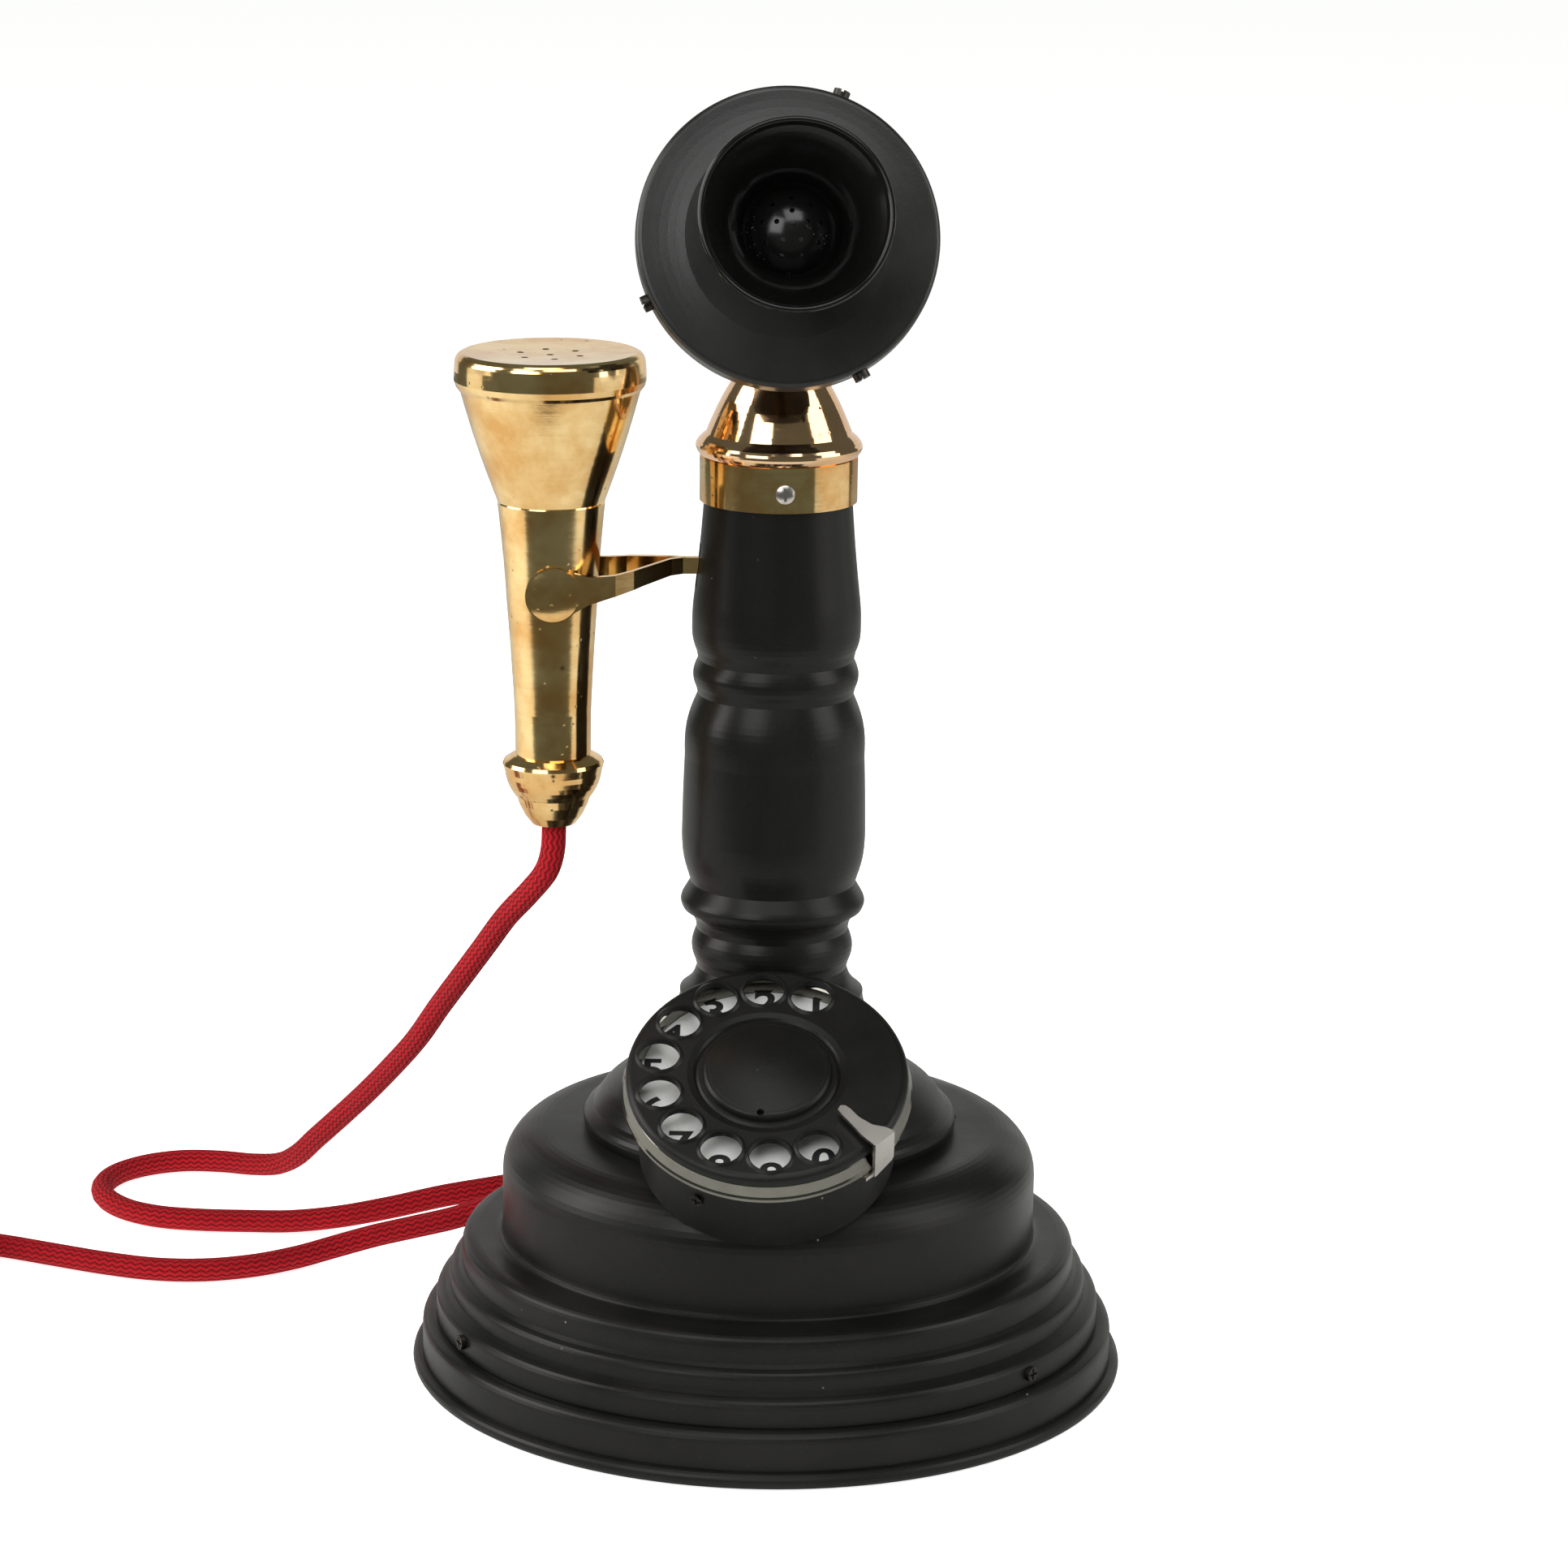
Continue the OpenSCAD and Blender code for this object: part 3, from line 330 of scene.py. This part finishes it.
def mesh_object(name, points, faces, material, uvs=None, smooth=True):
    mesh = bpy.data.meshes.new(name)
    mesh.from_pydata([tuple(p) for p in points], [], faces)
    if uvs:
        layer = mesh.uv_layers.new(name="UVMap")
        for loop, uv in zip(layer.data, uvs):
            loop.uv = uv
    mesh.polygons.foreach_set("use_smooth", [smooth] * len(mesh.polygons))
    mesh.materials.append(material)
    mesh.update()
    obj = bpy.data.objects.new(name, mesh)
    bpy.context.scene.collection.objects.link(obj)
    return obj


def add(obj, body):
    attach(obj, body)
    return obj


def smooth_line(points, step):
    """Evenly spaced points on a smooth curve through the given ones."""
    p = [Vector(q) for q in points]
    p = [2 * p[0] - p[1]] + p + [2 * p[-1] - p[-2]]
    fine = []
    for a, b, c, d in zip(p, p[1:], p[2:], p[3:]):
        count = max(2, round((c - b).length / step))
        for i in range(count):
            t = i / count
            fine.append(0.5 * (2 * b + (c - a) * t + (2 * a - 5 * b + 4 * c - d) * t * t
                               + (3 * b - a - 3 * c + d) * t ** 3))
    return fine + [p[-2]]


def tube(name, line, radius, material, sides=14):
    """A closed tube along line, its UV once round in x and in metres along in y."""
    side = (line[1] - line[0]).orthogonal().normalized()
    points, uvs, faces, run = [], [], [], 0.0
    runs = []
    for i, here in enumerate(line):
        ahead = (line[min(i + 1, len(line) - 1)] - line[max(i - 1, 0)]).normalized()
        side = (side - ahead * side.dot(ahead)).normalized()
        other = ahead.cross(side)
        for k in range(sides):
            turn = 2 * math.pi * k / sides
            points.append(here + radius * (math.cos(turn) * side + math.sin(turn) * other))
        run += (here - line[i - 1]).length if i else 0.0
        runs.append(run)
    for i in range(len(line) - 1):
        for k in range(sides):
            m = (k + 1) % sides
            faces.append((i * sides + k, i * sides + m, (i + 1) * sides + m, (i + 1) * sides + k))
            for row, column in ((i, k), (i, k + 1), (i + 1, k + 1), (i + 1, k)):
                uvs.append((column / sides, runs[row]))
    for cap in (range(sides - 1, -1, -1), range((len(line) - 1) * sides, len(line) * sides)):
        faces.append(tuple(cap))
        uvs += [(0.0, 0.0)] * sides
    return mesh_object(name, points, faces, material, uvs)


def lathe(name, profile, place, material, sides=48):
    """A solid of revolution: profile is (radius, height) in millimetres, place puts its axis."""
    points = [place @ Vector((r * MM * math.cos(2 * math.pi * k / sides),
                              r * MM * math.sin(2 * math.pi * k / sides), z * MM))
              for r, z in profile for k in range(sides)]
    faces = [(i * sides + k, i * sides + (k + 1) % sides, (i + 1) * sides + (k + 1) % sides,
              (i + 1) * sides + k)
             for i in range(len(profile) - 1) for k in range(sides)]
    return mesh_object(name, points, faces, material)


# ---- cords -----------------------------------------------------------------------------------

CORD_R = 3.5 * MM
STEP = 1.5 * MM
# Loose fibres on each cord: how many are tried, and the seed of their places
RECEIVER_FIBRES = (90, 3)
LINE_FIBRES = (120, 5)

RECEIVER_ROUTE = [
    (-61.6, -5.8, 159.7), (-62, -5.5, 152), (-64.1, -3, 145), (-69.5, 5, 136.5),
    (-76.5, 15.5, 126.5), (-84, 28, 113.5), (-91.5, 41, 100.5), (-99, 54, 87.5), (-107, 68, 73),
    (-115.5, 82, 60), (-125, 97, 46.5), (-134.5, 111, 34), (-144, 124, 22), (-151, 134, 13),
    (-158, 143, 7), (-167, 150, 4.2), (-178, 154, 3.6), (-190, 154, 3.6), (-201, 149, 3.6),
    (-209, 140, 3.6), (-212, 128, 3.6), (-209, 116, 3.6), (-201, 106, 3.6), (-190, 100, 3.6),
    (-177, 97.8, 3.6), (-163, 97.5, 3.6), (-149, 97.5, 3.8), (-134, 98, 5.4), (-118, 98.7, 8.5),
    (-102, 99, 12.4), (-86, 98.8, 15.6), (-73, 98.3, 18.2), (-62, 97, 20.2), (-53.5, 94.5, 21.3),
    (-47.4, 89.2, 21.5), (-45.1, 84.8, 21.5), (-42, 79, 21.5)]
LINE_ROUTE = [
    (-58.7, 67.5, 21.5), (-63.6, 73.2, 21.5), (-66.9, 77, 21.5), (-73.5, 81, 19.6), (-85, 81, 15.8),
    (-97, 79.5, 12.2), (-109, 78, 9.6), (-121, 76, 7.2), (-133, 72, 4.8), (-144, 65, 3.7),
    (-156, 57.5, 3.6), (-170, 53, 3.6), (-185, 53, 3.6), (-201, 57.5, 3.6), (-217, 64, 3.6),
    (-234, 71, 3.6), (-251, 76, 3.6), (-268, 78, 3.6)]
TAIL_ROUTE = [
    (-257, 1.5, 16), (-244, -0.5, 10.5), (-232.5, -6, 5.5), (-227, -16, 3.7), (-230, -27, 4.4),
    (-239.5, -34.9, 6.6), (-246.5, -36, 7.1), (-252, -36, 7.1)]

COIL_OUTER = 40.2
COIL_INNER = 32.6
COIL_TURNS = 4.56
POINTS_A_TURN = 24
LAYERS = (3.6, 10.7, 17.8)
# Each change in the coil: the turn it starts and ends at, and what it adds to radius and height
COIL_CHANGES = [
    (0.78, 0.95, COIL_INNER - COIL_OUTER, 0),
    (1.60, 1.77, 0, LAYERS[1] - LAYERS[0]),
    (2.55, 2.72, COIL_OUTER - COIL_INNER, 0),
    (3.36, 3.53, 0, LAYERS[2] - LAYERS[1])]

# Outlines of the plug's two pieces, as (radius, distance from the cord's end) in millimetres
PLUG_RIBS = [(7 - 0.5 * (i % 2), 15 + i) for i in range(14)]
PLUG_HANDLE = ([(0, 0.05), (4.3, 0.05), (4.6, 1.5), (6.6, 12), (7, 14)] + PLUG_RIBS
               + [(7, 30), (6.2, 31.5), (0, 31.5)])
PLUG_TIP = [(0, 31.5), (3.1, 31.5), (3.1, 54), (2.1, 56), (2.1, 57), (3.1, 59.5), (1, 63), (0, 63)]


def ease(t):
    t = min(1.0, max(0.0, t))
    return t * t * (3 - 2 * t)


def coil_point(turn, centre):
    radius, height = COIL_OUTER, LAYERS[0]
    for start, end, wider, higher in COIL_CHANGES:
        part = ease((turn - start) / (end - start))
        radius += wider * part
        height += higher * part
    angle = math.radians(90 + 360 * turn)
    return (centre.x + radius * math.cos(angle), centre.y + radius * math.sin(angle), height)


def metres(points):
    return [Vector(p) * MM for p in points]


def fuzz(name, line, count, seed):
    """Loose fibres that stand off the braid."""
    rng = random.Random(seed)
    points, faces = [], []
    for _ in range(count):
        i = rng.randrange(8, len(line) - 8)
        ahead = (line[i + 1] - line[i - 1]).normalized()
        side = ahead.orthogonal().normalized()
        out = Matrix.Rotation(rng.uniform(0, 2 * math.pi), 3, ahead) @ side
        if out.z < -0.3 or line[i].z < CORD_R * 1.5 and out.z < 0.2:
            continue
        reach = rng.uniform(0.4, 1.3) * MM
        lean = ahead * rng.uniform(-1.2, 1.2) * MM
        root = line[i] + out * (CORD_R - 0.1 * MM)
        curl = out.cross(ahead) * rng.uniform(-0.8, 0.8) * MM
        strand = [root, root + out * reach * 0.7 + lean * 0.4, root + out * reach + lean + curl]
        width = out.cross(ahead) * 0.05 * MM
        start = len(points)
        for p in strand:
            points += [p - width, p + width, p + ahead * 0.08 * MM]
        for j in (0, 3):
            for k in range(3):
                m = (k + 1) % 3
                faces.append((start + j + k, start + j + m, start + j + 3 + m, start + j + 3 + k))
        faces += [(start + 2, start + 1, start), (start + 6, start + 7, start + 8)]
    return mesh_object(name, points, faces, FINISHES["cord_braid"], smooth=False)


def make_receiver_cord():
    line = smooth_line(metres(RECEIVER_ROUTE), STEP)
    cord = tube("receiver_cord_braided", line, CORD_R, FINISHES["cord_braid"])
    hairs = fuzz("receiver_cord_fibres", line, *RECEIVER_FIBRES)
    # Both pieces are baked in place where they lie
    for piece in (cord, hairs):
        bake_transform(piece)
    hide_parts("receiver_cord")


def make_line_cord():
    centre = middle("line_cord_coil") / MM
    count = math.ceil(COIL_TURNS * POINTS_A_TURN)
    turns = [coil_point(i / POINTS_A_TURN, centre) for i in range(1, count)]
    line = smooth_line(metres(LINE_ROUTE + turns + TAIL_ROUTE), STEP)
    cord = add(tube("line_cord_braided", line, CORD_R, FINISHES["cord_braid"]), "stand")
    hairs = add(fuzz("line_cord_fibres", line, *LINE_FIBRES), "stand")
    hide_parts("line_cord", "line_cord_coil")
    lo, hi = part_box("line_plug")
    back = Vector((hi.x, (lo.y + hi.y) / 2, (lo.z + hi.z) / 2))
    place = Matrix.Translation(back) @ Matrix.Rotation(-math.pi / 2, 4, "Y")
    handle = lathe("plug_handle", PLUG_HANDLE, place, FINISHES["black_gloss"])
    tip = lathe("plug_tip", PLUG_TIP, place, FINISHES["brass"])
    add(handle, "stand")
    add(tip, "stand")
    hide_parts("line_plug")


# ---- digits on the number plate ----------------------------------------------------------------

# The first finger hole's direction and the step to the next, in degrees
FIRST_HOLE = 67.3
HOLE_STEP = 25.67
# The digits stand on a slightly wide ring, a little off the centre; the zero is higher than the rest
DIGIT_RING = (32.4, 31.2)
DIGIT_SIDE = 0.4
DIGIT_LIFT = 0.6
ZERO_LIFT = 1.7
DIGIT_TALL = 7.5
DIGIT_WIDE = 1.22
DIGIT_BOLD = 0.27
# A digit's height as a share of the font's size
FONT_SHARE = 0.69
# Height of the plate's face along the dial's axis, from the plate's own box
PLATE_FACE = max((v.co - DIAL_CENTRE).dot(DIAL_NORMAL) for v in frame["nodes"]["number_plate"].data.vertices)


def make_digits():
    for i, character in enumerate("1234567890"):
        text = bpy.data.curves.new("digit", "FONT")
        text.body = character
        text.size = DIGIT_TALL * MM / FONT_SHARE
        text.align_x = "CENTER"
        text.align_y = "CENTER"
        text.offset = DIGIT_BOLD * MM
        text.extrude = 0.02 * MM
        shape = bpy.data.objects.new("digit", text)
        bpy.context.scene.collection.objects.link(shape)
        bpy.context.view_layer.update()
        shown = shape.evaluated_get(bpy.context.evaluated_depsgraph_get())
        mesh = bpy.data.meshes.new_from_object(shown)
        bpy.data.objects.remove(shape)
        middle_x = sum(v.co.x for v in mesh.vertices) / len(mesh.vertices)
        top, low = max(v.co.y for v in mesh.vertices), min(v.co.y for v in mesh.vertices)
        angle = math.radians(FIRST_HOLE + HOLE_STEP * i)
        lift = DIGIT_LIFT + (ZERO_LIFT if character == "0" else 0)
        spot = on_dial((DIGIT_RING[0] * math.cos(angle) + DIGIT_SIDE) * MM,
                       (DIGIT_RING[1] * math.sin(angle) + lift) * MM, PLATE_FACE + 0.03 * MM)
        turn = Matrix((DIAL_RIGHT, DIAL_UP, DIAL_NORMAL)).transposed().to_4x4()
        wide = Matrix.Diagonal((DIGIT_WIDE, 1, 1, 1))
        to_middle = Matrix.Translation((-middle_x, -(top + low) / 2, 0))
        mesh.transform(Matrix.Translation(spot) @ turn @ wide @ to_middle)
        mesh.materials.clear()
        mesh.materials.append(ink)
        digit = bpy.data.objects.new(f"digit_{character}", mesh)
        bpy.context.scene.collection.objects.link(digit)
        add(digit, "stand")


# ---- room --------------------------------------------------------------------------------------

FLOOR_Z = -0.4 * MM
TABLE_Z = -0.2 * MM
ROOM_REACH = 6.0
ROOM_HEIGHT = 8.0
AIM = Vector((0, 0, 0.2))
# Soft lights: place, size, watts and colour
LIGHTS = {
    "key": ((-1.4, -0.05, 0.85), (0.9, 1.2), 17, (1, 0.975, 0.94)),
    "fill": ((1.35, -0.3, 0.8), (0.8, 1.2), 9, (1, 0.985, 0.96)),
    "top": ((-0.2, -0.2, 2.2), (0.7, 0.7), 4, (1, 1, 1)),
    "front": ((-1.0, -1.7, 1.4), (1.25, 1.25), 16, (1, 1, 1)),
    "dial": ((0.3, -1.1, 2.0), (1.2, 1.2), 13, (1, 1, 1)),
}
# Cards for the polished surfaces to mirror: place, size, colour and glow
CARDS = {
    "low_right": ((1.35, 0.0, 0.12), (1.9, 0.36), (1, 0.98, 0.95), 0.75),
    "low_left": ((-1.4, 0.2, 0.1), (0.7, 0.3), (1, 0.95, 0.88), 0.9),
    "backdrop": ((0, 1.6, 0.45), (3.0, 0.9), (1, 0.99, 0.97), 0.75),
}


def hide_from(obj, *rays):
    for ray in rays:
        setattr(obj, f"visible_{ray}", False)


def card(name, centre, size, colour, glow):
    """An evenly glowing flat square that faces the object and shows in polished surfaces only."""
    centre = Vector(centre)
    turn = (AIM - centre).to_track_quat("Z", "Y").to_matrix().to_4x4()
    w, h = size[0] / 2, size[1] / 2
    f = Finish(name)
    f.set(Base_Color=(0, 0, 0, 1), Roughness=1.0, Emission_Color=(*colour, 1), Emission_Strength=glow)
    corners = [(-w, -h, 0), (w, -h, 0), (w, h, 0), (-w, h, 0)]
    obj = mesh_object(name, corners, [(0, 1, 2, 3)], f.material, smooth=False)
    obj.matrix_world = Matrix.Translation(centre) @ turn
    hide_from(obj, "camera", "shadow", "diffuse")


def area_light(name, centre, size, watts, colour):
    """A soft light that shines at the object."""
    centre = Vector(centre)
    light = bpy.data.lights.new(name, "AREA")
    light.shape = "RECTANGLE"
    light.size, light.size_y = size
    light.energy = watts
    light.color = colour
    obj = bpy.data.objects.new(name, light)
    turn = (centre - AIM).to_track_quat("Z", "Y").to_matrix().to_4x4()
    obj.matrix_world = Matrix.Translation(centre) @ turn
    bpy.context.scene.collection.objects.link(obj)


def ground(name, low, high, height, tone, glow):
    f = Finish(name)
    f.set(Base_Color=(*tone, 1), Roughness=0.9, Specular_IOR_Level=0.0)
    f.set(Emission_Color=(1, 1, 1, 1), Emission_Strength=glow)
    corners = [(low[0], low[1], height), (high[0], low[1], height), (high[0], high[1], height),
               (low[0], high[1], height)]
    obj = mesh_object(name, corners, [(0, 1, 2, 3)], f.material, smooth=False)
    return obj


def walls():
    """White walls round the floor, which only the camera sees."""
    r = ROOM_REACH
    points = [(x, y, z) for z in (FLOOR_Z, ROOM_HEIGHT) for x, y in ((-r, -r), (r, -r), (r, r), (-r, r))]
    sides = [(i, (i + 1) % 4, (i + 1) % 4 + 4, i + 4) for i in range(4)]
    f = Finish("wall")
    f.set(Base_Color=(0, 0, 0, 1), Specular_IOR_Level=0.0)
    f.set(Emission_Color=(1, 1, 1, 1), Emission_Strength=0.97)
    obj = mesh_object("wall", points, sides, f.material, smooth=False)
    hide_from(obj, "glossy", "diffuse", "shadow")


def make_room():
    """A pale floor in a dark studio with a tall soft light on each side. Polished metal mirrors
    only the table's top in place of the endless floor, as it would in a real studio."""
    bpy.context.scene.view_settings.view_transform = "Standard"
    r = ROOM_REACH
    floor = ground("floor", (-r, -r), (r, r), FLOOR_Z, (0.95, 0.95, 0.945), 0.85)
    hide_from(floor, "glossy")
    table = ground("table_top", (-1.0, -0.36), (1.0, 1.4), TABLE_Z, (0.84, 0.84, 0.83), 0.0)
    hide_from(table, "camera", "diffuse", "shadow")
    walls()
    world = bpy.data.worlds.new("studio")
    world.use_nodes = True
    backdrop = world.node_tree.nodes["Background"]
    backdrop.inputs["Color"].default_value = (0.92, 1, 0.88, 1)
    backdrop.inputs["Strength"].default_value = 0.12
    bpy.context.scene.world = world
    for name, (centre, size, watts, colour) in LIGHTS.items():
        area_light(name, centre, size, watts, colour)
    for name, (centre, size, colour, glow) in CARDS.items():
        card(name, centre, size, colour, glow)


# ---- camera --------------------------------------------------------------------------------------

CAMERA_PLACE = (0.0148, -1.3019, 0.501)
CAMERA_PITCH = 14.22
CAMERA_YAW = 0.53
CAMERA_ROLL = 0.87
LENS = 109.57
SENSOR = 36.0


def make_camera():
    data = bpy.data.cameras.new("camera")
    data.lens = LENS
    data.sensor_width = SENSOR
    camera = bpy.data.objects.new("camera", data)
    pitch, yaw, roll = (math.radians(a) for a in (CAMERA_PITCH, CAMERA_YAW, CAMERA_ROLL))
    forward = Vector((-math.sin(yaw) * math.cos(pitch), math.cos(yaw) * math.cos(pitch), -math.sin(pitch)))
    right = Vector((math.cos(yaw), math.sin(yaw), 0))
    up = right.cross(forward)
    x_axis = math.cos(roll) * right + math.sin(roll) * up
    y_axis = -math.sin(roll) * right + math.cos(roll) * up
    turn = Matrix((x_axis, y_axis, -forward)).transposed().to_4x4()
    camera.matrix_world = Matrix.Translation(CAMERA_PLACE) @ turn
    bpy.context.scene.collection.objects.link(camera)
    bpy.context.scene.camera = camera


paint_cad()
make_receiver_cord()
make_line_cord()
make_digits()
make_room()
make_camera()
